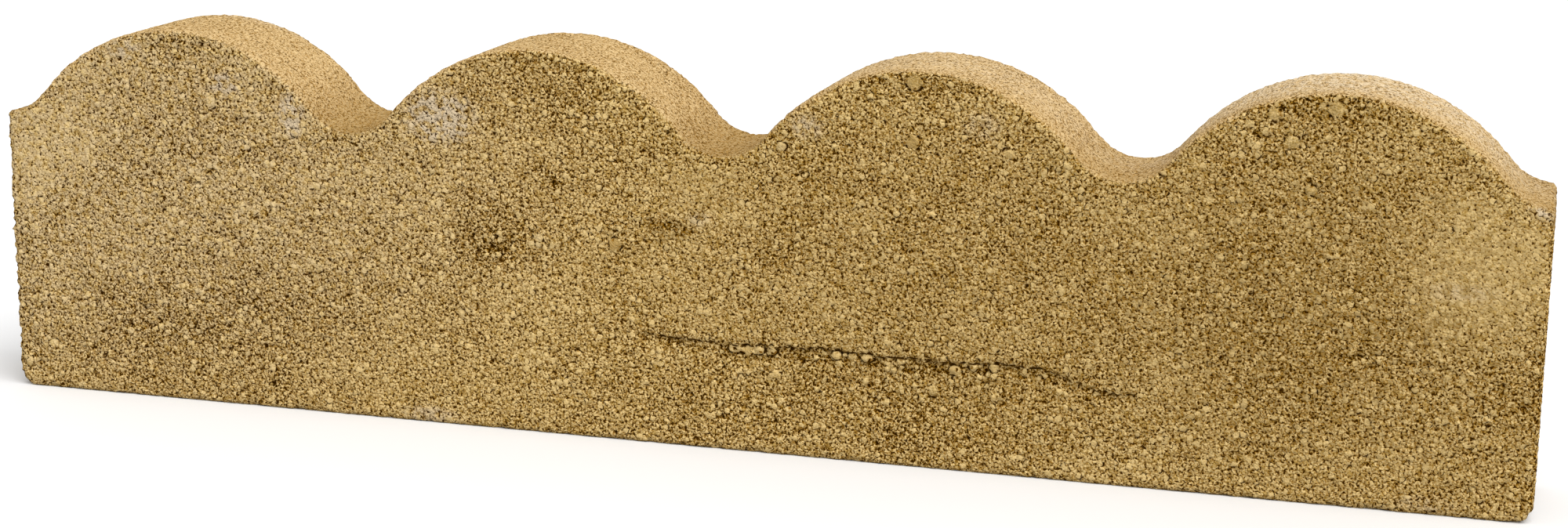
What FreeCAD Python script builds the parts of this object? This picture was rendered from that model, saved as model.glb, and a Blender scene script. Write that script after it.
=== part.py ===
"""Scalloped lawn edging stone: one block of semi-dry cast concrete, made in a single mould.

The stone stands on its long base, as it does when it is bedded beside a lawn. Its top edge is a run of
equal round crowns with smaller hollows between them. Each end stops at the bottom of a hollow, so that
stones laid end to end carry the wave on. All sizes are in millimetres.

Frame: origin at the middle of the base, +X along the stone, +Y from the lawn face to the bed face, +Z up.
"""

import FreeCAD, Part
import math
import os

# Driving dimensions
LENGTH = 600.0           # end to end, the laid length of one stone
HEIGHT = 150.0           # base to the top of a crown
THICKNESS = 50.0         # lawn face to bed face
CROWN_COUNT = 4          # round crowns along the top
SCALLOP_DEPTH = 36.0     # top of a crown to the bottom of a hollow
HOLLOW_RADIUS = 21.0     # concave radius at the bottom of a hollow
FOOT_RADIUS = 7.0        # rounding of the two bottom corners
SHOULDER_RADIUS = 3.0    # rounding of the two top corners, at the ends
ARRIS_RADIUS = 1.5       # rounding of the edges round both broad faces

# Sizes that follow from them
PITCH = LENGTH / CROWN_COUNT
HOLLOW_HEIGHT = HEIGHT - SCALLOP_DEPTH
# A crown and a hollow meet without a kink when their centres lie one sum of radii apart.
RADIUS_SUM = ((PITCH / 2) ** 2 + SCALLOP_DEPTH ** 2) / (2 * SCALLOP_DEPTH)
CROWN_RADIUS = RADIUS_SUM - HOLLOW_RADIUS
# Each arc turns by this angle, from upright, on the way to the point where the two meet.
MEETING_ANGLE = math.atan2(PITCH / 2, RADIUS_SUM - SCALLOP_DEPTH)

ON_PLANE = 1e-6          # how near to a plane an edge lies to count as on it


def crown_point(crown_x, angle):
    """Point on the crown centred at crown_x, at an angle from upright, positive towards +X."""
    centre_z = HEIGHT - CROWN_RADIUS
    return FreeCAD.Vector(crown_x + CROWN_RADIUS * math.sin(angle), 0,
                          centre_z + CROWN_RADIUS * math.cos(angle))


def hollow_point(hollow_x, angle):
    """Point on the hollow centred at hollow_x, at an angle from straight down, positive towards +X."""
    centre_z = HOLLOW_HEIGHT + HOLLOW_RADIUS
    return FreeCAD.Vector(hollow_x + HOLLOW_RADIUS * math.sin(angle), 0,
                          centre_z - HOLLOW_RADIUS * math.cos(angle))


def arc_edge(point_at, centre_x, first_angle, last_angle):
    """Circular edge through three points of crown_point or hollow_point."""
    middle_angle = (first_angle + last_angle) / 2
    return Part.Arc(point_at(centre_x, first_angle), point_at(centre_x, middle_angle),
                    point_at(centre_x, last_angle)).toShape()


def scalloped_edges():
    """The top outline from the left end to the right: crowns, with a hollow between each two."""
    left_end = -LENGTH / 2
    edges = [arc_edge(hollow_point, left_end, 0, MEETING_ANGLE)]
    for index in range(CROWN_COUNT):
        crown_x = left_end + (index + 0.5) * PITCH
        hollow_x = left_end + (index + 1) * PITCH
        is_last = index == CROWN_COUNT - 1
        edges.append(arc_edge(crown_point, crown_x, -MEETING_ANGLE, MEETING_ANGLE))
        edges.append(arc_edge(hollow_point, hollow_x, -MEETING_ANGLE, 0 if is_last else MEETING_ANGLE))
    return edges


def block():
    """The scalloped outline, closed by the ends and the base and carried through the thickness."""
    top_left = FreeCAD.Vector(-LENGTH / 2, 0, HOLLOW_HEIGHT)
    top_right = FreeCAD.Vector(LENGTH / 2, 0, HOLLOW_HEIGHT)
    foot_left = FreeCAD.Vector(-LENGTH / 2, 0, 0)
    foot_right = FreeCAD.Vector(LENGTH / 2, 0, 0)
    edges = scalloped_edges()
    edges.append(Part.makeLine(top_right, foot_right))
    edges.append(Part.makeLine(foot_right, foot_left))
    edges.append(Part.makeLine(foot_left, top_left))
    face = Part.Face(Part.Wire(edges))
    face.translate(FreeCAD.Vector(0, -THICKNESS / 2, 0))
    return face.extrude(FreeCAD.Vector(0, THICKNESS, 0))


def end_corner_edges(solid, height):
    """The edges that run through the thickness at the two ends, at this height."""
    found = []
    for edge in solid.Edges:
        box = edge.BoundBox
        at_end = abs(abs(box.Center.x) - LENGTH / 2) < ON_PLANE and box.XLength < ON_PLANE
        if at_end and abs(box.Center.z - height) < ON_PLANE and box.ZLength < ON_PLANE:
            found.append(edge)
    return found


def arris_edges(solid):
    """Every edge round the lawn face and the bed face."""
    return [edge for edge in solid.Edges
            if edge.BoundBox.YLength < ON_PLANE
            and abs(abs(edge.BoundBox.Center.y) - THICKNESS / 2) < ON_PLANE]


def edging_stone():
    """The finished stone: the block with its corners and arrises rounded as the mould leaves them."""
    stone = block()
    stone = stone.makeFillet(FOOT_RADIUS, end_corner_edges(stone, 0))
    stone = stone.makeFillet(SHOULDER_RADIUS, end_corner_edges(stone, HOLLOW_HEIGHT))
    return stone.makeFillet(ARRIS_RADIUS, arris_edges(stone))


def main():
    os.makedirs("parts", exist_ok=True)
    stone = edging_stone()
    stone.exportStep("parts/edging_stone.step")
    size = stone.optimalBoundingBox()
    print(f"edging_stone {size.XLength:.2f} x {size.YLength:.2f} x {size.ZLength:.2f} mm,"
          f" {stone.Volume / 1e6:.3f} litres, valid {stone.isValid()}, solids {len(stone.Solids)},"
          f" crown radius {CROWN_RADIUS:.2f}")


main()
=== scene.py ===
# %% [markdown]
# # A scalloped lawn edging stone, cast in buff concrete
#
# The stone is one block of semi-dry concrete, rammed into a mould and turned out while it is still damp.
# Its outline is exact and is kept as it comes from the model. What is left to do here is the skin: thousands
# of small rounded grains pressed flat against the mould, with dark pits where the paste did not fill in.

# %% Load the block
import math

import bmesh
import bpy
from mathutils import Matrix, Vector


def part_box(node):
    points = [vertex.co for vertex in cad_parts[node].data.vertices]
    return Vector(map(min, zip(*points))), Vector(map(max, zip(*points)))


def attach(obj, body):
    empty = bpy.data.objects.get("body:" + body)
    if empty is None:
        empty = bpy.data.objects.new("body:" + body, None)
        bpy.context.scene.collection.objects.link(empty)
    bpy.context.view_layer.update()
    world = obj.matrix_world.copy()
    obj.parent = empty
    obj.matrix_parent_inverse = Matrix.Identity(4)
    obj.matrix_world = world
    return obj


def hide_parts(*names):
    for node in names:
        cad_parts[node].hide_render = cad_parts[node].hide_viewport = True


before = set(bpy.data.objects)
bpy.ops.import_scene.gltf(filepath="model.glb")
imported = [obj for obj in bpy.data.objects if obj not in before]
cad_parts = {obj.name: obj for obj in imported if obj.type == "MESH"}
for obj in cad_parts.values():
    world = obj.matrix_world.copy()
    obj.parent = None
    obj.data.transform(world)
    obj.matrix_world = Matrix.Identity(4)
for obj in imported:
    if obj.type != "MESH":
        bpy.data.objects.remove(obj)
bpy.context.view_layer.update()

MM = 0.001
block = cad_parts["edging_stone"]
block_low, block_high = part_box("edging_stone")
half_length, half_thickness = (size / MM / 2 for size in (block_high - block_low)[:2])
facets = len(block.data.polygons)
print(f"block {2 * half_length:.1f} mm long and {2 * half_thickness:.1f} mm thick, {facets} facets")

# %% [markdown]
# ## The camera
#
# The picture was taken from a little above the crowns, and from so far to the right that the right end is
# seen edge-on. A camera can be placed by trial, but a stone with straight edges allows a better way: the
# place, the turn and the lens below are those that put the model's corners and crowns on the picture's.

# %% Place the camera
CAMERA_PLACE = (294.0 * MM, -978.4 * MM, 303.5 * MM)
CAMERA_TURN = 15.76       # degrees to the left of straight ahead
CAMERA_TILT = 13.02       # degrees down
CAMERA_ROLL = 0.61        # degrees
LENS = 62.64              # millimetres
SENSOR_WIDTH = 36.0       # millimetres
NEAREST_SEEN = 0.05       # metres from the camera
FARTHEST_SEEN = 100.0

camera_data = bpy.data.cameras.new("camera")
camera_data.lens = LENS
camera_data.sensor_width = SENSOR_WIDTH
camera_data.clip_start = NEAREST_SEEN
camera_data.clip_end = FARTHEST_SEEN
camera = bpy.data.objects.new("camera", camera_data)
turn = Matrix.Rotation(math.radians(CAMERA_TURN), 4, "Z")
tilt = Matrix.Rotation(math.radians(90.0 - CAMERA_TILT), 4, "X")
roll = Matrix.Rotation(math.radians(CAMERA_ROLL), 4, "Z")
camera.matrix_world = Matrix.Translation(CAMERA_PLACE) @ turn @ tilt @ roll
bpy.context.scene.collection.objects.link(camera)
bpy.context.scene.camera = camera
print(f"camera {camera.location.length:.2f} m from the middle of the base, lens {LENS} mm")

# %% [markdown]
# ## Light and floor
#
# The tops and the right-hand flanks of the crowns are the bright parts, and the broad face gets about half
# as much light. So one wide soft lamp stands high up, to the right and a little in front, and a plain white
# sky fills in. An area lamp would do for the stone alone. A sun lamp with a wide angle is used instead,
# because it lights the whole floor evenly, right out to the horizon, and the floor can then be plain white
# without any light of its own. To the camera the floor is paler than to the light that bounces off it, or
# else it would brighten the foot of the stone too much.
#
# Light, shape and finish are all wired as node trees in this lesson, so a small helper for them comes first.

# %% A helper for node trees
def feed(tree, socket, value):
    """Wires a socket to an input, or sets the input to a plain value."""
    if isinstance(value, bpy.types.NodeSocket):
        tree.links.new(value, socket)
    else:
        socket.default_value = value


class Bench:
    """Adds nodes to one tree. Each tool gives back the socket that carries its result."""

    def __init__(self, tree):
        self.tree = tree

    def node(self, kind, **settings):
        made = self.tree.nodes.new(kind)
        for name, value in settings.items():
            setattr(made, name, value)
        return made

    def maths(self, operation, first, second=0.0, third=0.0, clamp=False):
        made = self.node("ShaderNodeMath", operation=operation, use_clamp=clamp)
        for socket, value in zip(made.inputs, (first, second, third)):
            feed(self.tree, socket, value)
        return made.outputs[0]

    def vector(self, operation, first, second=(0.0, 0.0, 0.0)):
        made = self.node("ShaderNodeVectorMath", operation=operation)
        feed(self.tree, made.inputs[0], first)
        feed(self.tree, made.inputs["Scale"] if operation == "SCALE" else made.inputs[1], second)
        return made.outputs[0]

    def split(self, place):
        made = self.node("ShaderNodeSeparateXYZ")
        feed(self.tree, made.inputs[0], place)
        return made.outputs[0], made.outputs[1], made.outputs[2]

    def join(self, first, second, third=0.0):
        made = self.node("ShaderNodeCombineXYZ")
        for socket, value in zip(made.inputs, (first, second, third)):
            feed(self.tree, socket, value)
        return made.outputs[0]

    def mix(self, share, first, second, kind="FLOAT"):
        """Blends two numbers, two places or two colours."""
        made = self.node("ShaderNodeMix", data_type=kind)
        first_input = {"FLOAT": 2, "VECTOR": 4, "RGBA": 6}[kind]
        for index, value in ((0, share), (first_input, first), (first_input + 1, second)):
            feed(self.tree, made.inputs[index], value)
        return made.outputs[first_input // 2 - 1]

    def ramp(self, value, low, high, start=0.0, end=1.0):
        """Goes smoothly from start to end while value goes from low to high."""
        made = self.node("ShaderNodeMapRange", interpolation_type="SMOOTHSTEP")
        for socket, setting in zip(made.inputs, (value, low, high, start, end)):
            feed(self.tree, socket, setting)
        return made.outputs[0]

    def noise(self, place, size, detail=1.0, colour=False, flat=False):
        """Soft cloudy noise, from 0 to 1, with clouds of about that size, in space or on a flat sheet."""
        made = self.node("ShaderNodeTexNoise", noise_dimensions="2D" if flat else "3D")
        for name, value in {"Vector": place, "Scale": 1.0 / size, "Detail": detail}.items():
            feed(self.tree, made.inputs[name], value)
        return made.outputs[1 if colour else 0]

    def cells(self, sheet, size, feature):
        """Voronoi cells of about that size on a flat sheet, one for each grain."""
        made = self.node("ShaderNodeTexVoronoi", feature=feature, voronoi_dimensions="2D")
        feed(self.tree, made.inputs["Vector"], sheet)
        feed(self.tree, made.inputs["Scale"], 1.0 / size)
        return made.outputs


print("tools on the bench:", ", ".join(name for name in vars(Bench) if not name.startswith("_")))

# %% Sky and lamp
SKY_STRENGTH = 0.67
SKY_SEEN = 1.0            # plain white to the camera
WHITE = (1.0, 1.0, 1.0, 1.0)
LAMP_STRENGTH = 2.7
LAMP_FROM = (0.47, -0.42, 1.0)
LAMP_ANGLE = 55.0         # degrees across

scene = bpy.context.scene
scene.view_settings.view_transform = "Standard"


def seen_directly(bench):
    """1 for rays from the camera, a mirror or glass, 0 for light that bounces."""
    path = bench.node("ShaderNodeLightPath")
    seen = bench.maths("ADD", path.outputs["Is Camera Ray"], path.outputs["Is Glossy Ray"])
    return bench.maths("ADD", seen, path.outputs["Is Transmission Ray"], clamp=True)


sky = bpy.data.worlds.new("studio_sky")
sky.use_nodes = True
sky_bench = Bench(sky.node_tree)
sky_light = sky.node_tree.nodes["Background"]
sky_light.inputs["Color"].default_value = WHITE
sky_strength = sky_bench.mix(seen_directly(sky_bench), SKY_STRENGTH, SKY_SEEN)
feed(sky.node_tree, sky_light.inputs["Strength"], sky_strength)
scene.world = sky

lamp_data = bpy.data.lights.new("soft_lamp", "SUN")
lamp_data.energy = LAMP_STRENGTH
lamp_data.angle = math.radians(LAMP_ANGLE)
lamp = bpy.data.objects.new("soft_lamp", lamp_data)
lamp.rotation_euler = Vector(LAMP_FROM).to_track_quat("Z", "Y").to_euler()
scene.collection.objects.link(lamp)
print(f"lamp at {LAMP_STRENGTH} W/m2 from {LAMP_FROM}, sky at {SKY_STRENGTH}")

# %% Floor
FLOOR_SEEN = (0.80, 0.80, 0.80, 1.0)
FLOOR_BOUNCE = (0.42, 0.42, 0.42, 1.0)
FLOOR_SIZE = 30.0         # metres from the middle to each side

floor_shape = bmesh.new()
bmesh.ops.create_grid(floor_shape, x_segments=1, y_segments=1, size=FLOOR_SIZE)
floor_mesh = bpy.data.meshes.new("floor")
floor_shape.to_mesh(floor_mesh)
floor_shape.free()
floor = bpy.data.objects.new("floor", floor_mesh)
scene.collection.objects.link(floor)
floor_paint = bpy.data.materials.new("white_floor")
floor_paint.use_nodes = True
floor_bench = Bench(floor_paint.node_tree)
floor_surface = floor_paint.node_tree.nodes["Principled BSDF"]
floor_colour = floor_bench.mix(seen_directly(floor_bench), FLOOR_BOUNCE, FLOOR_SEEN, "RGBA")
feed(floor_paint.node_tree, floor_surface.inputs["Base Color"], floor_colour)
floor_surface.inputs["Roughness"].default_value = 1.0
floor_surface.inputs["Specular IOR Level"].default_value = 0.0
floor_mesh.materials.append(floor_paint)
print(f"floor {2 * FLOOR_SIZE:.0f} m across")

# %% [markdown]
# ## Where the skin differs from place to place
#
# A mould is never filled quite evenly. Some parts of the lawn face are closed and smooth, others are open and
# full of pits, and the scalloped top is rubbed nearly smooth by the stripping plate. Lime has bloomed to a
# grey veil on the left, in a few spots and on the right-hand crests. Dirt lies under the crests and in a
# bruise near the middle of the face, where the skin is broken open. The right half of the face is made darker
# and yellower, and the hollows between the crowns are darkened with painted shade.
#
# All of this is broad and soft, so a handful of ovals can draw it. It is worked out once for each point of
# the mesh and kept there as an attribute. The finish could work it out for itself, but it would do so again
# for every ray of light, and the render would be slow.
#
# Sizes are in millimetres from here on, and places are places on the wall of the mould.

# %% Patches on the lawn face
# Each patch is its middle along and up the face, half its length and height, and how strong it is.
OPEN_PATCHES = (
    (-282.0, 100.0, 30.0, 22.0, -0.22),
    (-156.0, 95.0, 28.0, 16.0, -0.08),
    (-8.0, 98.0, 30.0, 16.0, -0.16),
    (85.0, 64.0, 80.0, 19.0, -0.02),
    (276.0, 88.0, 38.0, 36.0, -0.38),
    (150.0, 98.0, 22.0, 14.0, -0.12),
    (-218.0, 42.0, 85.0, 30.0, 0.12),
    (-92.0, 76.0, 24.0, 16.0, 0.20),
    (-90.0, 72.0, 9.0, 6.0, 0.22),
    (-67.0, 98.5, 5.0, 3.0, 0.32),
    (-70.0, 130.0, 30.0, 16.0, 0.12),
    (60.0, 20.0, 130.0, 22.0, 0.10),
    (200.0, 95.0, 30.0, 20.0, 0.04),
    (-222.0, 147.0, 30.0, 8.0, 0.12),
    (-78.0, 147.0, 30.0, 8.0, 0.12),
    (74.0, 146.0, 40.0, 8.0, 0.14),
    (222.0, 146.0, 45.0, 9.0, 0.12),
    (-250.0, 22.0, 70.0, 26.0, 0.10),
    (-27.0, 86.0, 3.4, 1.8, 0.55),
    (-20.5, 85.9, 4.2, 1.6, 0.50),
    (-13.6, 84.2, 3.6, 1.6, 0.55),
)
BLOOM_PATCHES = (
    (-300.0, 100.0, 285.0, 130.0, 0.40),
    (-112.0, 122.0, 18.0, 13.0, 1.00),
    (-246.0, 141.0, 9.0, 5.0, 0.45),
    (-203.0, 130.0, 9.0, 5.0, 0.75),
    (-175.0, 119.0, 7.0, 11.0, 0.75),
    (33.0, 127.0, 9.0, 6.0, 0.65),
    (99.0, 131.0, 9.0, 7.0, 0.45),
    (-8.0, 89.0, 7.0, 4.0, 0.45),
    (-118.0, 3.0, 16.0, 5.0, 0.60),
    (270.0, 82.0, 16.0, 4.0, 0.45),
    (297.0, 114.0, 8.0, 6.0, 1.00),
    (262.0, 4.0, 12.0, 4.0, 0.45),
)
# On the scalloped top a patch is its middle along and across the stone.
TOP_BLOOM_PATCHES = (
    (-212.0, 24.0, 26.0, 9.0, 0.45),
    (75.0, 6.0, 90.0, 34.0, 0.42),
    (225.0, 10.0, 100.0, 40.0, 0.85),
    (228.0, 24.0, 26.0, 9.0, 0.45),
)
DARK_PATCHES = (
    (-75.0, 148.0, 32.0, 7.0, 0.20),
    (74.0, 147.0, 34.0, 9.0, 0.30),
    (222.0, 147.0, 42.0, 10.0, 0.32),
    (-20.0, 83.8, 11.0, 4.6, 0.95),
    (-8.0, 100.0, 22.0, 12.0, 0.22),
    (255.0, 66.0, 26.0, 10.0, 0.20),
    # These two broad patches make the right half of the face darker and yellower.
    (270.0, 70.0, 150.0, 120.0, 0.48),
    (130.0, 74.0, 200.0, 82.0, 0.52),
)


def oval(bench, along, up, patch):
    """Squared distance from the middle of an oval patch: 0 there, 1 at its rim."""
    middle_along, middle_up, patch_half_length, patch_half_height = patch[:4]
    across = bench.maths("MULTIPLY", bench.maths("SUBTRACT", along, middle_along), 1.0 / patch_half_length)
    upright = bench.maths("MULTIPLY", bench.maths("SUBTRACT", up, middle_up), 1.0 / patch_half_height)
    return bench.maths("MULTIPLY_ADD", across, across, bench.maths("MULTIPLY", upright, upright))


def patchwork(bench, along, up, patches):
    """All the patches of one kind, each fading out towards its rim."""
    total = 0.0
    for patch in patches:
        fading = bench.ramp(oval(bench, along, up, patch), 1.0, 0.0)
        total = bench.maths("MULTIPLY_ADD", fading, patch[4], total)
    return total


bloom_count = len(BLOOM_PATCHES) + len(TOP_BLOOM_PATCHES)
print(f"{len(OPEN_PATCHES)} open or closed patches, {bloom_count} of bloom, {len(DARK_PATCHES)} of dirt")

# %% [markdown]
# ## The ledge and the pebbles
#
# Low on the lawn face one layer of concrete did not quite knit with the next. It left a ledge: a frayed dark
# line with a smooth lip above it and a shallow recess below, out of which a row of whole stones stands. A few
# more pebbles lie buried in the skin elsewhere.
#
# The ledge could be cut into the mesh with a knife, but then its line would be fixed. A line that is a height
# for each place along the stone is drawn with a Float Curve node instead, just as one draws it by hand in the
# editor, and two noises then fray it. A pebble is an oval, like the patches.
#
# From here on, a named pair of numbers is mostly a range: where something sets in and where it is whole.

# %% Draw the ledge line
LEDGE_LINE = (
    (-36.0, 43.9), (-18.0, 42.4), (5.0, 41.9), (40.0, 43.2), (80.0, 41.4), (109.0, 42.9), (124.0, 42.0),
    (144.0, 35.3), (156.0, 34.6), (226.0, 55.3), (244.0, 57.2), (267.0, 54.3), (280.0, 50.6),
)
# How marked the ledge is along the stone, from 0 to 1.
LEDGE_STRENGTH = (
    (-36.0, 0.0), (-30.0, 0.55), (-4.0, 0.60), (6.0, 1.0), (110.0, 1.0), (128.0, 0.75), (141.0, 0.25),
    (147.0, 0.50), (155.0, 0.45), (160.0, 0.0), (225.0, 0.0), (232.0, 0.14), (268.0, 0.12), (280.0, 0.0),
)
LEDGE_WOBBLE = 3.6
LEDGE_WOBBLE_SIZE = 6.0
LEDGE_FRAY = 1.6          # the line also follows the single grains
LEDGE_FRAY_SIZE = 2.2
LEDGE_FRAY_SHIFT = (3.0, 0.0, 19.0)
FAINTEST_LEDGE = 0.01


def drawn_line(bench, value, points):
    """A Float Curve through the given points, straight from one to the next."""
    made = bench.node("ShaderNodeFloatCurve")
    line = made.mapping.curves[0]
    made.mapping.use_clip = False
    for point, end in zip(line.points, (points[0], points[-1])):
        point.location = end
    for point in points[1:-1]:
        line.points.new(*point)
    for point in line.points:
        point.handle_type = "VECTOR"
    made.mapping.update()
    feed(bench.tree, made.inputs["Value"], value)
    return made.outputs[0]


def ledge_at(bench, place, lawn_face):
    """How far a place is below the ledge line, further where the ledge is faint, and how marked it is."""
    along, _, up = bench.split(place)
    wobble = bench.maths("SUBTRACT", bench.noise(place, LEDGE_WOBBLE_SIZE, detail=2.0), 0.5)
    fray = bench.noise(bench.vector("ADD", place, LEDGE_FRAY_SHIFT), LEDGE_FRAY_SIZE)
    fray = bench.maths("SUBTRACT", fray, 0.5)
    line = bench.maths("MULTIPLY_ADD", wobble, LEDGE_WOBBLE, drawn_line(bench, along, LEDGE_LINE))
    line = bench.maths("MULTIPLY_ADD", fray, LEDGE_FRAY, line)
    strength = bench.maths("MULTIPLY", drawn_line(bench, along, LEDGE_STRENGTH), lawn_face)
    below = bench.maths("SUBTRACT", line, up)
    return bench.maths("DIVIDE", below, bench.maths("MAXIMUM", strength, FAINTEST_LEDGE)), strength


print(f"ledge drawn through {len(LEDGE_LINE)} points")

# %% Cut the ledge
LEDGE_DEPTH = 0.9
# Distances below the line: where the row of stones and the recess set in, and where they fade out.
ROW_FROM, ROW_TO = (0.1, 0.7), (8.0, 4.0)
RECESS_FROM, RECESS_TO = (-0.2, 0.8), (30.0, 2.0)


def ledge_row(bench, below):
    """The row of whole grains just under the ledge."""
    return bench.maths("MULTIPLY", bench.ramp(below, *ROW_FROM), bench.ramp(below, *ROW_TO))


def ledge_recess(bench, below, strength):
    """Depth of the recess: a steep step at the ledge, fading out further down."""
    recess = bench.maths("MULTIPLY", bench.ramp(below, *RECESS_FROM), bench.ramp(below, *RECESS_TO))
    return bench.maths("MULTIPLY", recess, bench.maths("MULTIPLY", strength, LEDGE_DEPTH))


print(f"ledge {LEDGE_DEPTH} mm deep, its row of stones reaching {ROW_TO[0]:.0f} mm down")

# %% Scatter the pebbles
# Each pebble is its middle along and up the face, half its length and height, and its colour: 1 is brown,
# -1 is pale.
PEBBLES = (
    (-42.1, 76.9, 2.7, 2.6, 0.7),
    (-72.8, 77.5, 2.2, 1.8, -0.4),
    (-93.7, 75.4, 1.8, 1.2, 0.4),
    (-283.8, 18.8, 2.2, 1.9, 0.0),
    (-295.0, 10.2, 2.0, 2.2, 0.1),
    (-24.6, 32.0, 2.9, 1.5, 0.0),
    (21.8, 31.0, 2.6, 1.6, 0.1),
    (90.7, 38.6, 2.4, 2.0, 0.2),
    (82.6, 30.4, 1.8, 2.4, 0.0),
    (203.1, 141.3, 3.0, 2.4, 0.2),
    (224.0, 144.2, 3.1, 2.7, 0.2),
    (209.3, 131.7, 2.8, 2.4, 0.1),
    (216.7, 114.8, 2.4, 1.8, 0.2),
    (73.2, 145.4, 2.9, 3.0, 0.4),
    (73.1, 123.2, 2.6, 2.5, 0.6),
    (108.8, 121.3, 2.4, 2.0, 0.2),
    (60.3, 129.9, 1.9, 1.9, 0.0),
    (23.0, 118.9, 2.2, 1.9, -0.4),
    (-173.5, 112.2, 1.9, 1.7, -0.3),
    (-209.1, 122.6, 2.3, 2.6, 0.1),
    (6.0, 40.2, 2.9, 2.0, -0.15),
    (10.9, 39.6, 1.8, 2.1, 0.1),
    (15.2, 40.2, 2.2, 1.9, -0.15),
    (20.3, 40.6, 2.0, 1.9, -0.1),
    (45.4, 40.6, 2.1, 1.8, 0.0),
    (51.6, 40.8, 1.8, 1.6, 0.0),
    (57.2, 40.6, 2.4, 1.8, -0.1),
    (69.4, 45.6, 1.9, 1.5, 0.1),
    (70.2, 40.4, 1.9, 1.6, 0.0),
    (97.8, 40.4, 2.0, 1.7, 0.0),
    (105.2, 40.8, 1.9, 1.7, 0.0),
)
PEBBLE_FAR = 4.0          # beyond this no pebble is noticed


def pebbles_at(bench, along, up, lawn_face):
    """Squared distance from the nearest pebble, 1 at its rim, and that pebble's colour."""
    reach, colour = PEBBLE_FAR, 0.0
    for pebble in PEBBLES:
        distance = oval(bench, along, up, pebble)
        nearer = bench.maths("LESS_THAN", distance, reach)
        reach = bench.maths("MINIMUM", distance, reach)
        colour = bench.mix(nearer, colour, pebble[4])
    return bench.mix(lawn_face, PEBBLE_FAR, reach), colour


print(f"{len(PEBBLES)} pebbles")

# %% [markdown]
# ## The skin at one place
#
# Mesh and finish both ask the same question: what is the skin like here? One function answers it, from the
# patches, the ledge, the pebbles and two soft noises. It first tells which wall of the mould a place lies on,
# because the ends are rougher than the lawn face and the top is smoother. The walls could be painted by hand
# as vertex groups, but the distance from the block's own sides tells them apart exactly, arrises too.

# %% Tell the walls apart
TOP_FROM = 104.0          # the end walls stop and the scalloped top starts about here
TOP_BLEND = 5.0
# Distances from a wall of the mould, at which its skin gives way to the next wall's.
FACE_BLEND = (0.8, 0.2)
SIDE_BLEND = (0.05, 0.55)
END_BLEND = (2.5, 0.5)
BASE_BLEND = (0.6, 0.2)


def walls_at(bench, place):
    """Shares that tell the lawn face, the scalloped top, the ends and the base."""
    along, across, up = bench.split(place)
    lawn_face = bench.ramp(across, *(inset - half_thickness for inset in FACE_BLEND))
    between = bench.ramp(bench.maths("ABSOLUTE", across), *(half_thickness - inset for inset in SIDE_BLEND))
    top = bench.maths("MULTIPLY", between, bench.ramp(up, TOP_FROM, TOP_FROM + TOP_BLEND))
    end = bench.ramp(bench.maths("ABSOLUTE", along), *(half_length - inset for inset in END_BLEND))
    base = bench.ramp(up, *BASE_BLEND)
    return {"lawn_face": lawn_face, "top": top, "end": end, "base": base}


print(f"the scalloped top starts {TOP_FROM:.0f} mm up")

# %% How open the skin is
BROAD_CLOUD, BROAD_SHARE, BROAD_SHIFT = 45.0, 0.3, (71.0, 13.0, 5.0)
LOCAL_CLOUD, LOCAL_SHARE, LOCAL_SHIFT = 12.0, 0.45, (9.0, 37.0, 23.0)
LEAST_OPEN = 0.05
ROW_OPEN = 0.22           # the row under the ledge is more open than the skin round it
END_OPEN = 0.2            # and so are the ends
RUBBED = (0.8, -0.03)     # on the rubbed top: what is left of it, and what is taken off


def openness_at(bench, place, walls, row):
    """0 where the paste fills every gap between the grains, 1 where it fills none."""
    along, _, up = bench.split(place)
    broad = bench.noise(bench.vector("ADD", place, BROAD_SHIFT), BROAD_CLOUD)
    local = bench.noise(bench.vector("ADD", place, LOCAL_SHIFT), LOCAL_CLOUD)
    local = bench.maths("MULTIPLY_ADD", local, LOCAL_SHARE, LEAST_OPEN)
    coarse = bench.maths("ADD", bench.maths("MULTIPLY", broad, BROAD_SHARE), local)
    patches = patchwork(bench, along, up, OPEN_PATCHES)
    coarse = bench.maths("MULTIPLY_ADD", patches, walls["lawn_face"], coarse)
    coarse = bench.maths("MULTIPLY_ADD", row, ROW_OPEN, coarse)
    coarse = bench.maths("MULTIPLY_ADD", walls["end"], END_OPEN, coarse)
    coarse = bench.mix(walls["top"], coarse, bench.maths("MULTIPLY_ADD", coarse, *RUBBED))
    return bench.maths("MAXIMUM", bench.maths("MINIMUM", coarse, 1.0), 0.0)


print(f"open and closed skin in clouds of {BROAD_CLOUD:.0f} mm and {LOCAL_CLOUD:.0f} mm, besides the patches")

# %% Lime, dirt and painted shade on it
HOLLOW_SHADE = 1.8         # painted shade in the hollows between the crowns, up to this height
HOLLOW_SHADE_TO = 132.0
HOLLOW_SHADE_FADE = (60.0, 150.0, 1.0, 0.6)     # from here to there along the stone the painted shade of the hollows fades to this share


def coats_at(bench, place, walls):
    """How much lime has bloomed, and how much dirt and painted shade darken the skin."""
    along, across, up = bench.split(place)
    bloom = bench.maths("MULTIPLY", patchwork(bench, along, up, BLOOM_PATCHES), walls["lawn_face"])
    crest_bloom = patchwork(bench, along, across, TOP_BLOOM_PATCHES)
    bloom = bench.maths("MULTIPLY_ADD", crest_bloom, walls["top"], bloom)
    dirt = bench.maths("MULTIPLY", patchwork(bench, along, up, DARK_PATCHES), walls["lawn_face"])
    # Painted shade: the hollows between the crowns are darkened towards their floors, less so to the right.
    hollow = bench.ramp(up, HOLLOW_SHADE_TO, TOP_FROM)
    hollow = bench.maths("MULTIPLY", hollow, bench.ramp(along, *HOLLOW_SHADE_FADE))
    hollow = bench.maths("MULTIPLY", hollow, HOLLOW_SHADE)
    return bloom, bench.maths("MULTIPLY_ADD", walls["top"], hollow, dirt)


print(f"the hollows hold dirt below {HOLLOW_SHADE_TO:.0f} mm")

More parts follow.
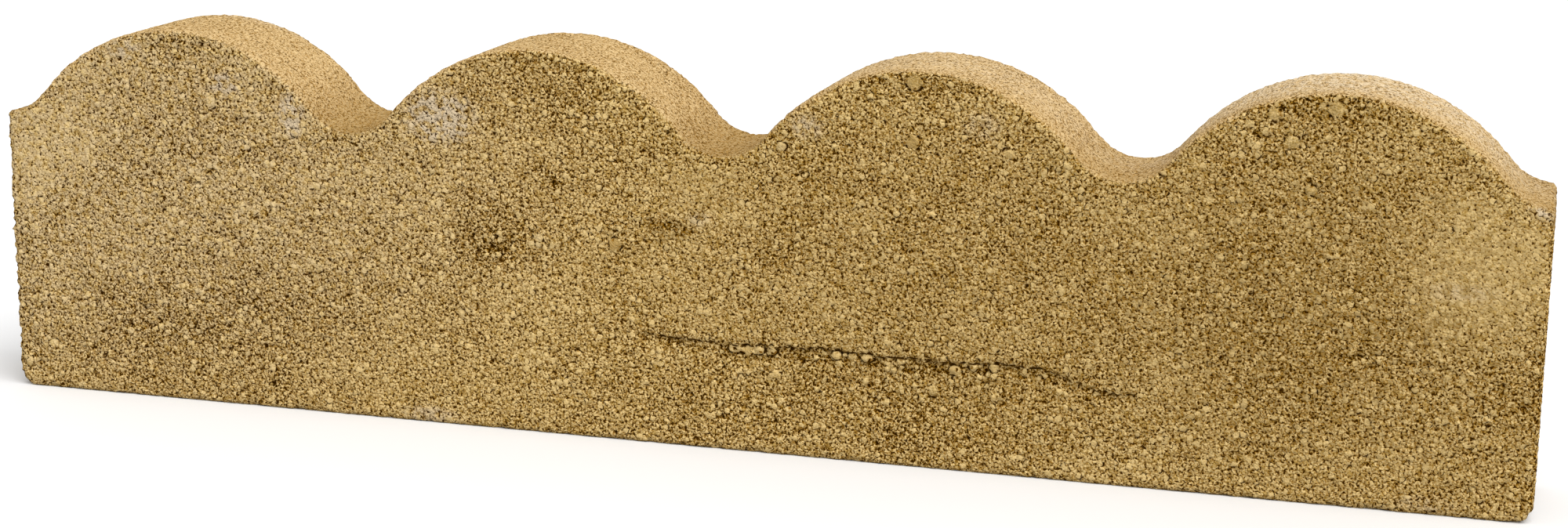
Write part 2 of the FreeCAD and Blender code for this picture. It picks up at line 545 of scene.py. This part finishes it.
# %% Put it all together
def skin_at(bench, place):
    """Everything broad about the skin: how open it is, what lies on it, and which wall it is on."""
    along, _, up = bench.split(place)
    walls = walls_at(bench, place)
    below, strength = ledge_at(bench, place, walls["lawn_face"])
    row = ledge_row(bench, below)
    reach, pebble_colour = pebbles_at(bench, along, up, walls["lawn_face"])
    coarse = openness_at(bench, place, walls, row)
    bloom, dirt = coats_at(bench, place, walls)
    return {"coarse": coarse, "row": row, "below": below, "ledge": strength, "reach": reach,
            "pebble_colour": pebble_colour, "bloom": bloom, "dirt": dirt, **walls}


print("one answer for each place: openness, ledge, pebbles, lime, dirt and walls")

# %% [markdown]
# ## The pattern of the grains
#
# Each grain is a cell of a Voronoi pattern, and the pits are the low spots of a soft noise. The whole grains,
# the pebbles and the deep pits are large enough for the mesh, and the finish needs them as well, for their
# colour and their sharpest edges. So they are written as one function, which wires the same nodes into either
# kind of tree. The small grains between them are finer than the mesh, and only the finish has them.
#
# A pattern in space would need no layout, but one on a flat sheet takes a third of the time to work out. So
# the skin is peeled off and laid flat, wall by wall, as for a box projection. On the scalloped top the sheet
# follows the flanks, or else the grains would be drawn out there. Last, the sheet is crumpled a little,
# because true Voronoi cells look too even for stone.

# %% Lay the skin flat
SHEET_SHIFT = 300.0       # keeps the walls apart on the flat sheet, so that no two share their grains
CROWNS = 4
FLANK_STRETCH = 0.5       # a flank is longer than it looks from above
ARRIS_TURN = 0.45         # on a rounded arris one wall ends and the next starts this far in
END_TURN = 2.0
block_height = block_high.z / MM


def level_place(bench, place, middle_along, is_top):
    """A place on the base or the scalloped top, with the flanks of the crowns rolled out."""
    along, across, up = bench.split(place)
    crown = bench.maths("MULTIPLY_ADD", middle_along, CROWNS / 2 / half_length, CROWNS / 2)
    flank = bench.maths("SIGN", bench.maths("SUBTRACT", bench.maths("FRACT", crown), 0.5))
    drop = bench.maths("SUBTRACT", block_height, up)
    drop = bench.maths("MULTIPLY", drop, bench.maths("MULTIPLY", flank, is_top))
    level_along = bench.maths("MULTIPLY_ADD", drop, FLANK_STRETCH, along)
    level_row = bench.maths("MULTIPLY_ADD", is_top, SHEET_SHIFT, 2 * SHEET_SHIFT)
    return bench.join(level_along, bench.maths("ADD", across, level_row))


def sheet_place(bench, place, middle):
    """A place on the flat sheet. The middle of its face tells which wall it lies on."""
    along, across, up = bench.split(place)
    middle_along, middle_across, middle_up = bench.split(middle)
    is_top = bench.maths("GREATER_THAN", middle_up, TOP_FROM / 2)
    is_back = bench.maths("GREATER_THAN", middle_across, 0.0)
    is_end = bench.maths("GREATER_THAN", bench.maths("ABSOLUTE", middle_along), half_length - END_TURN)
    off_middle = bench.maths("ABSOLUTE", middle_across)
    is_broad = bench.maths("GREATER_THAN", off_middle, half_thickness - ARRIS_TURN)
    level = level_place(bench, place, middle_along, is_top)
    end_row = bench.maths("MULTIPLY", bench.maths("SIGN", middle_along), 2 * SHEET_SHIFT)
    end = bench.join(bench.maths("ADD", across, end_row), up)
    broad = bench.join(along, bench.maths("MULTIPLY_ADD", is_back, SHEET_SHIFT, up))
    narrow = bench.mix(is_end, level, end, "VECTOR")
    return bench.mix(is_broad, narrow, broad, "VECTOR")


print(f"walls laid out {SHEET_SHIFT:.0f} mm apart, with {CROWNS} crowns on the top")

# %% Crumple the pattern
CRUMPLE = 1.5
CRUMPLE_SHIFT = 1.2


def crumpled(bench, sheet):
    """Shifts the pattern a little here and there, so that no grain is quite round."""
    shift = bench.vector("SUBTRACT", bench.noise(sheet, CRUMPLE, colour=True, flat=True), (0.5, 0.5, 0.5))
    return bench.vector("ADD", sheet, bench.vector("SCALE", shift, CRUMPLE_SHIFT))


print(f"pattern shifted by up to {CRUMPLE_SHIFT / 2:.1f} mm each way")

# %% The whole grains
WHOLE_GRAIN = 2.7         # the mesh can show these
GRAIN_RADIUS = (0.22, 0.26)         # in cells: how much it varies, and the least
GRAIN_SHARE = (0.30, 0.03)          # share of cells that show one: more on open skin, and the least
NOTICED = 4.0             # beyond this squared distance no whole grain is noticed


def whole_grains(bench, sheet, skin):
    """Squared distance from the nearest whole grain, 1 at its rim. Open skin shows more of them."""
    away, numbers, _ = bench.cells(sheet, WHOLE_GRAIN, "F1")[:3]
    number, width, _ = bench.split(numbers)
    reach = bench.maths("DIVIDE", away, bench.maths("MULTIPLY_ADD", width, *GRAIN_RADIUS))
    share = bench.maths("MULTIPLY_ADD", skin["coarse"], *GRAIN_SHARE)
    hidden = bench.maths("GREATER_THAN", number, share)
    return bench.maths("MULTIPLY_ADD", hidden, NOTICED, bench.maths("MULTIPLY", reach, reach))


print(f"whole grains about {WHOLE_GRAIN} mm apart")

# %% The pits beside them and the crack at the ledge
# Squared distances from a grain, 1 at its rim.
GAP_FROM, GAP_TO = (0.85, 1.05), (1.7, 1.2)
ROW_STONE = (2.4, 1.8)
# Levels of a soft noise, below which the paste is missing.
GAP_OPEN, CRACK_OPEN = (0.46, 0.38), (0.60, 0.46)
ROW_LOOSE = -0.10         # round the stones of the row more of it is missing
CRACK_FROM, CRACK_TO = (-0.25, 0.1), (1.0, 0.3)     # distances below the ledge line


def side_pits(bench, skin, reach, patchy, in_row):
    """Pits beside the whole grains and pebbles, and in the crack at the ledge."""
    beside = bench.maths("MULTIPLY", bench.ramp(reach, *GAP_FROM), bench.ramp(reach, *GAP_TO))
    near_stone = bench.maths("MULTIPLY", bench.ramp(skin["reach"], *ROW_STONE), in_row)
    loose = bench.maths("MULTIPLY_ADD", near_stone, ROW_LOOSE, patchy)
    beside = bench.maths("MULTIPLY", beside, bench.ramp(loose, *GAP_OPEN))
    below = skin["below"]
    # The crack is cut into the mesh and painted with the pit shade, which stands for the shadow under the
    # ledge.
    crack = bench.maths("MULTIPLY", bench.ramp(below, *CRACK_FROM), bench.ramp(below, *CRACK_TO))
    crack = bench.maths("MULTIPLY", crack, bench.ramp(patchy, *CRACK_OPEN))
    return bench.maths("MAXIMUM", beside, crack)


print(f"crack from {CRACK_FROM[0]} mm to {CRACK_TO[0]} mm below the ledge line")

# %% The deep pits
DEEP_PIT, DEEP_PIT_SHIFT = 2.4, (17.0, 29.0, 0.0)
DEEP_FROM = (0.24, 0.14)  # level of the noise: higher on open skin, and the least
DEEP_WALL, DEEP_RIM = (0.0, 0.07), (-0.10, 0.0)
UNEVEN_RIM = (0.8, 0.6)   # the noise also makes the grains uneven
GRAIN_INSIDE, PEBBLE_INSIDE = (1.15, 0.85), (1.4, 1.0)
BURIED = -0.8             # a pebble that lies buried wears the small grains of the skin


def open_skin(bench, sheet, skin):
    """What mesh and finish share: the whole grains and pebbles, the pits beside them, and the deep pits."""
    patchy = bench.noise(bench.vector("ADD", sheet, DEEP_PIT_SHIFT), DEEP_PIT, detail=1.5, flat=True)
    reach = bench.maths("MINIMUM", skin["reach"], whole_grains(bench, sheet, skin))
    reach = bench.maths("MULTIPLY", reach, bench.maths("MULTIPLY_ADD", patchy, *UNEVEN_RIM))
    inside = bench.ramp(reach, *GRAIN_INSIDE)
    in_row = ledge_row(bench, skin["below"])
    deep = bench.maths("MULTIPLY_ADD", skin["coarse"], *DEEP_FROM)
    deep = bench.maths("SUBTRACT", deep, patchy)
    pit = side_pits(bench, skin, reach, patchy, in_row)
    pit = bench.maths("MAXIMUM", pit, bench.ramp(deep, *DEEP_WALL))
    rim = bench.maths("MAXIMUM", bench.ramp(deep, *DEEP_RIM), pit)
    loose = bench.maths("SUBTRACT", 1.0, in_row)
    buried = bench.maths("MULTIPLY", bench.ramp(skin["reach"], *PEBBLE_INSIDE), loose)
    plain = bench.maths("MULTIPLY", inside, bench.maths("MULTIPLY_ADD", buried, BURIED, 1.0))
    return {"reach": reach, "inside": inside, "plain": plain, "pit": pit, "rim": rim, "patchy": patchy}


print(f"deep pits about {DEEP_PIT} mm apart")

# %% The small grains between them
FINE_GRAIN = 1.4
PLAIN_TONE = 0.28         # a whole grain is of one tone all over
CHANCE, CHANCE_SHIFT = 0.8, (53.0, 31.0, 0.0)
UNEVEN = (-1.2, 0.6)
UNEVEN_SHARE = 0.4
GAP_RANGE = (0.05, 0.85)
FINE_PIT_FROM = (-0.27, 0.445)      # open skin has more of the small pits
FINE_PIT_WALL, FINE_PIT_RIM = (0.0, 0.10), (-0.28, 0.0)
GRAIN_GAP, GRAIN_DOME = 0.35, 0.5   # a whole grain is smoother, and falls away to its rim


def fine_grains(bench, sheet, skin, open_places):
    """How hollow the skin is between the small grains, the pits there, and a chance number for each grain."""
    away, numbers, _ = bench.cells(sheet, FINE_GRAIN, "F1")[:3]
    tone = bench.mix(open_places["plain"], bench.split(numbers)[1], PLAIN_TONE)
    chance = bench.noise(bench.vector("ADD", sheet, CHANCE_SHIFT), CHANCE, flat=True)
    uneven = bench.maths("MULTIPLY_ADD", chance, *UNEVEN)
    gap = bench.ramp(bench.maths("MULTIPLY_ADD", uneven, UNEVEN_SHARE, away), *GAP_RANGE)
    hollow = bench.maths("MULTIPLY_ADD", away, UNEVEN_SHARE, uneven)
    pit_from = bench.maths("MULTIPLY_ADD", skin["coarse"], *FINE_PIT_FROM)
    hollow = bench.maths("SUBTRACT", hollow, pit_from)
    kept = bench.maths("SUBTRACT", 1.0, open_places["inside"])
    rim = bench.maths("MULTIPLY", bench.ramp(hollow, *FINE_PIT_RIM), kept)
    pit = bench.maths("MULTIPLY", bench.ramp(hollow, *FINE_PIT_WALL), kept)
    dome = bench.maths("MULTIPLY", open_places["reach"], open_places["reach"])
    dome = bench.maths("MULTIPLY", dome, GRAIN_DOME)
    rounded = bench.maths("MULTIPLY_ADD", gap, GRAIN_GAP, dome)
    return {"gap": bench.mix(open_places["inside"], gap, rounded),
            "pit": bench.maths("MAXIMUM", pit, open_places["pit"]),
            "rim": bench.maths("MAXIMUM", rim, open_places["rim"]),
            "tone": tone}


print(f"small grains about {FINE_GRAIN} mm apart")

# %% [markdown]
# ## The skin of the casting
#
# The model's own mesh is made of long thin triangles, which cannot take any relief. A voxel remesh gives an
# even net of small squares, and a shrinkwrap lays that net exactly on the model's faces again. Then the
# pattern is pressed in with Geometry Nodes, always inwards, since nothing can stand proud of the mould.
# Last, the Decimate modifier takes points away where the surface is flat and keeps them round the pits.

# %% Lay an even net over the block
NET_STEP = 0.9 * MM
MERGE_DISTANCE = 0.001 * MM


def apply_modifiers(thing):
    """Gives an object the mesh that its modifiers make, and takes the modifiers off."""
    depsgraph = bpy.context.evaluated_depsgraph_get()
    thing.data = bpy.data.meshes.new_from_object(thing.evaluated_get(depsgraph), depsgraph=depsgraph)
    thing.data.name = thing.name
    thing.modifiers.clear()


closed_block = bmesh.new()
closed_block.from_mesh(block.data)
bmesh.ops.remove_doubles(closed_block, verts=closed_block.verts, dist=MERGE_DISTANCE)
casting_mesh = bpy.data.meshes.new("stone_casting")
closed_block.to_mesh(casting_mesh)
closed_block.free()
casting = bpy.data.objects.new("stone_casting", casting_mesh)
scene.collection.objects.link(casting)

net = casting.modifiers.new("net", "REMESH")
net.mode = "VOXEL"
net.voxel_size = NET_STEP
lay = casting.modifiers.new("lay_on_mould", "SHRINKWRAP")
lay.wrap_method = "NEAREST_SURFACEPOINT"
lay.target = block
apply_modifiers(casting)
print(f"net of {len(casting.data.polygons)} faces, {NET_STEP / MM:.2f} mm across")

# %% Start a tree of Geometry Nodes
def geometry_tree(name):
    """An empty Geometry Nodes tree with one geometry in and one out."""
    tree = bpy.data.node_groups.new(name, "GeometryNodeTree")
    tree.interface.new_socket("Geometry", in_out="INPUT", socket_type="NodeSocketGeometry")
    tree.interface.new_socket("Geometry", in_out="OUTPUT", socket_type="NodeSocketGeometry")
    bench = Bench(tree)
    return bench, bench.node("NodeGroupInput").outputs[0], bench.node("NodeGroupOutput").inputs[0]


press, shape_in, shape_out = geometry_tree("press_grains")
print(f"tree {press.tree.name} with {len(press.tree.nodes)} nodes, still empty between them")

# %% Chips, lumps and the recess
CHIP_DEPTH = 0.9          # chips along the arrises
CHIP_SIZE, CHIP_SHIFT = 5.0, (0.0, 7.0, 61.0)
CHIP_RANGE = (0.52, 0.70)
LUMP_DEPTH = 0.70         # the rough ends
LUMP_SIZE = 3.0
LUMP_RANGE = (0.42, 0.65)
RIGHT_LUMPS = 0.25        # the right end is smoother than the left
ARRIS_FROM, ARRIS_TO = (0.10, 0.45), (0.999, 0.93)  # how far the surface has turned to a broad face
ARRIS_WIDENED = 2         # rounds of blurring
STANDING_OUT = -0.7       # whole grains stand out of the recess


def wear_depth(bench, place, normal, skin, inside):
    """Depth of what is larger than a grain: chips on the arrises, lumps on the ends, the recess."""
    along = bench.split(place)[0]
    facing = bench.maths("ABSOLUTE", bench.split(normal)[1])
    arris = bench.maths("MULTIPLY", bench.ramp(facing, *ARRIS_FROM), bench.ramp(facing, *ARRIS_TO))
    widened = bench.node("GeometryNodeBlurAttribute", data_type="FLOAT")
    widened.inputs["Iterations"].default_value = ARRIS_WIDENED
    feed(bench.tree, widened.inputs["Value"], arris)
    chips = bench.noise(bench.vector("ADD", place, CHIP_SHIFT), CHIP_SIZE, detail=2.0)
    chip_depth = bench.maths("MULTIPLY", widened.outputs[0], CHIP_DEPTH)
    chips = bench.maths("MULTIPLY", bench.ramp(chips, *CHIP_RANGE), chip_depth)
    lumps = bench.ramp(bench.noise(place, LUMP_SIZE, detail=2.0), *LUMP_RANGE)
    lump_depth = bench.ramp(along, -half_length / 2, half_length / 2, LUMP_DEPTH, LUMP_DEPTH * RIGHT_LUMPS)
    lumps = bench.maths("MULTIPLY", lumps, bench.maths("MULTIPLY", skin["end"], lump_depth))
    recess = ledge_recess(bench, skin["below"], skin["ledge"])
    recess = bench.maths("MULTIPLY", recess, bench.maths("MULTIPLY_ADD", inside, STANDING_OUT, 1.0))
    return bench.maths("ADD", bench.maths("ADD", chips, lumps), recess)


print(f"chips up to {CHIP_DEPTH} mm deep, lumps up to {LUMP_DEPTH} mm")

# %% Grains and pits
PASTE_DEPTH = 0.95        # between the whole grains the skin lies up to this far back
PASTE_RANGE = (0.75, 0.25)
DOME_DEPTH = 0.50         # a whole grain's rim
PIT_DEPTH = 1.4
ROW_GRAIN = 3.8           # the whole grains under the ledge
ROW_GAP = (0.15, 0.85)
ROW_DEPTH = 0.6
# How much deeper paste and pits are on open skin, and the least.
OPEN_PASTE, OPEN_PIT = (0.9, 0.25), (0.6, 0.4)
BASE_SHARE = 0.35         # the base stood on a board and is smoother


def grain_depth(bench, sheet, skin, grains):
    """Depth of the pattern: the paste, the rounded grains, the pits and the row under the ledge."""
    paste = bench.maths("MULTIPLY", bench.ramp(grains["patchy"], *PASTE_RANGE), PASTE_DEPTH)
    paste = bench.maths("MULTIPLY", paste, bench.maths("MULTIPLY_ADD", skin["coarse"], *OPEN_PASTE))
    dome = bench.maths("MULTIPLY", bench.maths("MULTIPLY", grains["reach"], grains["reach"]), DOME_DEPTH)
    depth = bench.mix(grains["inside"], paste, bench.maths("MULTIPLY", dome, skin["coarse"]))
    pits = bench.maths("MULTIPLY", grains["pit"], bench.maths("MULTIPLY_ADD", skin["coarse"], *OPEN_PIT))
    depth = bench.maths("MULTIPLY_ADD", pits, PIT_DEPTH, depth)
    row_gap = bench.ramp(bench.cells(sheet, ROW_GRAIN, "F1")[0], *ROW_GAP)
    depth = bench.maths("MULTIPLY_ADD", row_gap, bench.maths("MULTIPLY", skin["row"], ROW_DEPTH), depth)
    return bench.mix(skin["base"], depth, bench.maths("MULTIPLY", depth, BASE_SHARE))


print(f"pits up to {PIT_DEPTH} mm deep, paste up to {PASTE_DEPTH} mm")

# %% Press the pattern in
wall = press.vector("SCALE", press.node("GeometryNodeInputPosition").outputs[0], 1.0 / MM)
normal = press.node("GeometryNodeInputNormal").outputs[0]
skin = skin_at(press, wall)
sheet = crumpled(press, sheet_place(press, wall, wall))
grains = open_skin(press, sheet, skin)
depth = grain_depth(press, sheet, skin, grains)
depth = press.maths("ADD", depth, wear_depth(press, wall, normal, skin, grains["inside"]))
moved = press.node("GeometryNodeSetPosition")
press.tree.links.new(shape_in, moved.inputs["Geometry"])
feed(press.tree, moved.inputs["Offset"], press.vector("SCALE", normal, press.maths("MULTIPLY", depth, -MM)))
press.tree.links.new(moved.outputs[0], shape_out)
casting.modifiers.new("press_grains", "NODES").node_group = press.tree
apply_modifiers(casting)
print(f"{len(casting.data.vertices)} points pressed in by {len(press.tree.nodes)} nodes")

# %% Thin the mesh
TRIANGLE_LIMIT = 196000

triangles = sum(len(face.vertices) - 2 for face in casting.data.polygons)
thin = casting.modifiers.new("thin", "DECIMATE")
thin.ratio = TRIANGLE_LIMIT / triangles
thin.use_collapse_triangulate = True
apply_modifiers(casting)
print(f"{triangles} triangles thinned to {len(casting.data.polygons)}")

# %% Note how each point lay in the mould
NOTED = ("coarse", "below", "reach", "pebble_colour")
COATS = ("bloom", "dirt", "top")      # these three travel together, as one vector


def keep_attribute(bench, shape, name, kind, value, domain="POINT"):
    """Stores a value on the mesh under a name that the finish can read."""
    stored = bench.node("GeometryNodeStoreNamedAttribute", data_type=kind, domain=domain)
    stored.inputs["Name"].default_value = name
    bench.tree.links.new(shape, stored.inputs["Geometry"])
    bench.tree.links.new(value, stored.inputs["Value"])
    return stored.outputs[0]


note, shape, shape_out = geometry_tree("note_mould_place")
inside_box = note.node("GeometryNodeSetPosition")
point = note.vector("MINIMUM", note.node("GeometryNodeInputPosition").outputs[0], tuple(block_high))
note.tree.links.new(shape, inside_box.inputs["Geometry"])
note.tree.links.new(note.vector("MAXIMUM", point, tuple(block_low)), inside_box.inputs["Position"])
model = note.node("GeometryNodeObjectInfo")
model.inputs["Object"].default_value = block
nearest = note.node("GeometryNodeProximity", target_element="FACES")
note.tree.links.new(model.outputs["Geometry"], nearest.inputs[0])
wall = note.vector("SCALE", nearest.outputs["Position"], 1.0 / MM)
skin = skin_at(note, wall)
shape = inside_box.outputs[0]
for name in NOTED:
    shape = keep_attribute(note, shape, name, "FLOAT", skin[name])
coats = note.join(*(skin[name] for name in COATS))
shape = keep_attribute(note, shape, "coats", "FLOAT_VECTOR", coats)
middle = note.node("GeometryNodeFieldOnDomain", data_type="FLOAT_VECTOR", domain="FACE")
note.tree.links.new(wall, middle.inputs[0])
flat_place = sheet_place(note, wall, middle.outputs[0])
shape = keep_attribute(note, shape, "sheet", "FLOAT_VECTOR", flat_place, "CORNER")
note.tree.links.new(shape, shape_out)
casting.modifiers.new("note_mould_place", "NODES").node_group = note.tree
apply_modifiers(casting)
casting.data.shade_smooth()
print(f"{len(NOTED) + len(COATS)} values noted for each of {len(casting.data.vertices)} points")

# %% [markdown]
# ## Buff concrete
#
# The colour comes from a yellow pigment in the cement, so every grain wears nearly the same buff coat. Dark
# places stay brown: a brown rim lies round each pit, because light that comes out of a pit has met the buff
# paste more than once. On the rubbed top the pits are shallow, and brown all through.
#
# A picture could be laid over the stone, but it would repeat and blur close up. So the colour is mixed from
# the pattern itself, in the order in which a real stone gets its coats: sand and grains, pebbles, lime and
# dirt. The painted shade of the hollows between the crowns is laid on together with the dirt, and the painted
# shade of the gaps, rims and pits comes last. Relief finer than the mesh is left to a Bump node, which the
# same pattern feeds, so that every dark pit is also a hollow one.

# %% Choose the colours
LIGHT_GRAIN = (0.90, 0.66, 0.295, 1.0)
DARK_GRAIN = (0.33, 0.185, 0.012, 1.0)
OCHRE_GRAIN = (0.56, 0.345, 0.08, 1.0)
PALE_SKIN = (0.595, 0.42, 0.225, 1.0)
LIME_BLOOM = (0.72, 0.57, 0.37, 1.0)
BROWN_PEBBLE = (0.44, 0.27, 0.08, 1.0)
PALE_PEBBLE = (0.62, 0.47, 0.25, 1.0)
# the dirt colour also paints the shade of the hollows between the crowns
DIRT_AND_SHADE = (0.24, 0.145, 0.04, 1.0)
GAP_SHADE = (0.34, 0.175, 0.0, 1.0)
RIM_SHADE = (0.27, 0.115, 0.0, 1.0)
PIT_SHADE = (0.05, 0.017, 0.0, 1.0)
print("colours for grains, skin, lime, pebbles and dirt, and three shades for the hollows")

# %% Read what the mesh holds
concrete = bpy.data.materials.new("buff_concrete")
concrete.use_nodes = True
mixer = Bench(concrete.node_tree)
surface = concrete.node_tree.nodes["Principled BSDF"]


def noted(name, output):
    """An attribute of the mesh, as a number or as a vector."""
    return mixer.node("ShaderNodeAttribute", attribute_name=name).outputs[output]


skin = {name: noted(name, "Fac") for name in NOTED}
skin.update(zip(COATS, mixer.split(noted("coats", "Vector"))))
flat_skin = noted("sheet", "Vector")
sheet = crumpled(mixer, flat_skin)
open_places = open_skin(mixer, sheet, skin)
grains = fine_grains(mixer, sheet, skin, open_places)
print(f"pattern of the finish: {len(concrete.node_tree.nodes)} nodes")

# %% Mix the grains
SAND = 0.65               # the finest speckle
SAND_CONTRAST = (0.8, 0.4)          # stronger on open skin, and the least
SAND_ON_GRAIN = -0.5      # weaker on a whole grain
SAND_SHARE = 2.0
TONE_SHARE = (0.4, 0.04)  # from a light grain to a dark one
OCHRE_SHARE = (0.80, 0.95, 0.0, 0.45)
TOP_PALE = 0.7

contrast = mixer.maths("MULTIPLY_ADD", skin["coarse"], *SAND_CONTRAST)
smooth = mixer.maths("MULTIPLY_ADD", open_places["plain"], SAND_ON_GRAIN, 1.0)
sand = mixer.maths("SUBTRACT", mixer.noise(flat_skin, SAND, detail=0.5, flat=True), 0.5)
sand = mixer.maths("MULTIPLY", sand, mixer.maths("MULTIPLY", contrast, smooth))
speckle = mixer.maths("MULTIPLY_ADD", grains["tone"], *TONE_SHARE)
speckle = mixer.maths("MULTIPLY_ADD", sand, SAND_SHARE, speckle)
colour = mixer.mix(mixer.maths("MAXIMUM", speckle, 0.0, clamp=True), LIGHT_GRAIN, DARK_GRAIN, "RGBA")
colour = mixer.mix(mixer.ramp(grains["tone"], *OCHRE_SHARE), colour, OCHRE_GRAIN, "RGBA")
colour = mixer.mix(mixer.maths("MULTIPLY", skin["top"], TOP_PALE), colour, PALE_SKIN, "RGBA")
for tint, sign in ((BROWN_PEBBLE, 1.0), (PALE_PEBBLE, -1.0)):
    share = mixer.maths("MULTIPLY", skin["pebble_colour"], sign, clamp=True)
    colour = mixer.mix(mixer.maths("MULTIPLY", share, open_places["inside"]), colour, tint, "RGBA")
print(f"grains coloured, {len(concrete.node_tree.nodes)} nodes so far")

# %% Lay on lime, dirt and the painted shade of the hollows
CLOUD = 3.0
LIME_CLOUD = (0.35, 0.60, 0.25, 1.1)
DARK_PATCH_CLOUD = (0.62, 0.35, 0.2, 0.7)
EVEN_TOP_SHADE = 0.42           # on the top the painted shade of the hollows lies evenly

cloud = mixer.noise(sheet, CLOUD, flat=True)
veil = mixer.maths("MULTIPLY", skin["bloom"], mixer.ramp(cloud, *LIME_CLOUD))
colour = mixer.mix(veil, colour, LIME_BLOOM, "RGBA")
# The dirt colour is also the painted shade of the hollows between the crowns, on the top.
dark_cover = mixer.mix(skin["top"], mixer.ramp(cloud, *DARK_PATCH_CLOUD), EVEN_TOP_SHADE)
colour = mixer.mix(mixer.maths("MULTIPLY", skin["dirt"], dark_cover), colour, DIRT_AND_SHADE, "RGBA")
print(f"lime and dirt in clouds of about {CLOUD} mm")

# %% Shade the gaps, the rims and the pits
LIME_FILLS = -0.75        # lime hides the shade
GAP_STRENGTH = (0.36, 0.16)         # stronger on open skin, and the least
RIM_STRENGTH = 0.50       # likewise, on top of the next
RIM_LEAST = (-0.15, 0.60)           # weaker on the rubbed top
PIT_STRENGTH = (-0.5, 1.0)          # likewise
ROUGHNESS = 0.92

bared = mixer.maths("MULTIPLY_ADD", veil, LIME_FILLS, 1.0)
gap_share = mixer.maths("MULTIPLY", grains["gap"], mixer.maths("MULTIPLY_ADD", skin["coarse"], *GAP_STRENGTH))
colour = mixer.mix(mixer.maths("MULTIPLY", gap_share, bared), colour, GAP_SHADE, "RGBA")
rim_least = mixer.maths("MULTIPLY_ADD", skin["top"], *RIM_LEAST)
rim_strength = mixer.maths("MULTIPLY_ADD", skin["coarse"], RIM_STRENGTH, rim_least)
rim_share = mixer.maths("MULTIPLY", grains["rim"], rim_strength)
colour = mixer.mix(mixer.maths("MULTIPLY", rim_share, bared), colour, RIM_SHADE, "RGBA")
pit_share = mixer.maths("MULTIPLY", grains["pit"], mixer.maths("MULTIPLY_ADD", skin["top"], *PIT_STRENGTH))
colour = mixer.mix(pit_share, colour, PIT_SHADE, "RGBA")
feed(concrete.node_tree, surface.inputs["Base Color"], colour)
surface.inputs["Roughness"].default_value = ROUGHNESS
surface.inputs["Specular IOR Level"].default_value = 0.0
print(f"coats and shade laid on, {len(concrete.node_tree.nodes)} nodes so far")

# %% Add the finest relief
BUMP_DEPTH = 0.85
# How much deeper pits and gaps are on open skin, and the least.
PIT_RELIEF, GAP_RELIEF = (0.45, 0.40), (0.56, 0.20)
SAND_RELIEF = 0.5

bump = mixer.node("ShaderNodeBump")
bump.inputs["Strength"].default_value = 1.0
bump.inputs["Distance"].default_value = BUMP_DEPTH * MM
pit_depth = mixer.maths("MULTIPLY", grains["pit"], mixer.maths("MULTIPLY_ADD", skin["coarse"], *PIT_RELIEF))
rounding = mixer.maths("MULTIPLY", grains["gap"], mixer.maths("MULTIPLY_ADD", skin["coarse"], *GAP_RELIEF))
raised = mixer.maths("MULTIPLY", sand, SAND_RELIEF)
raised = mixer.maths("SUBTRACT", raised, mixer.maths("ADD", pit_depth, rounding))
feed(concrete.node_tree, bump.inputs["Height"], raised)
feed(concrete.node_tree, surface.inputs["Normal"], bump.outputs["Normal"])
casting.data.materials.clear()
casting.data.materials.append(concrete)
print(f"finest relief up to {BUMP_DEPTH} mm, finish of {len(concrete.node_tree.nodes)} nodes in all")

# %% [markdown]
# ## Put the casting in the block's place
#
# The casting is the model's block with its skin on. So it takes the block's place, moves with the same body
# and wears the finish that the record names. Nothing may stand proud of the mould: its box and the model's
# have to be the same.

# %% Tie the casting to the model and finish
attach(casting, "root")
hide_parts("edging_stone")
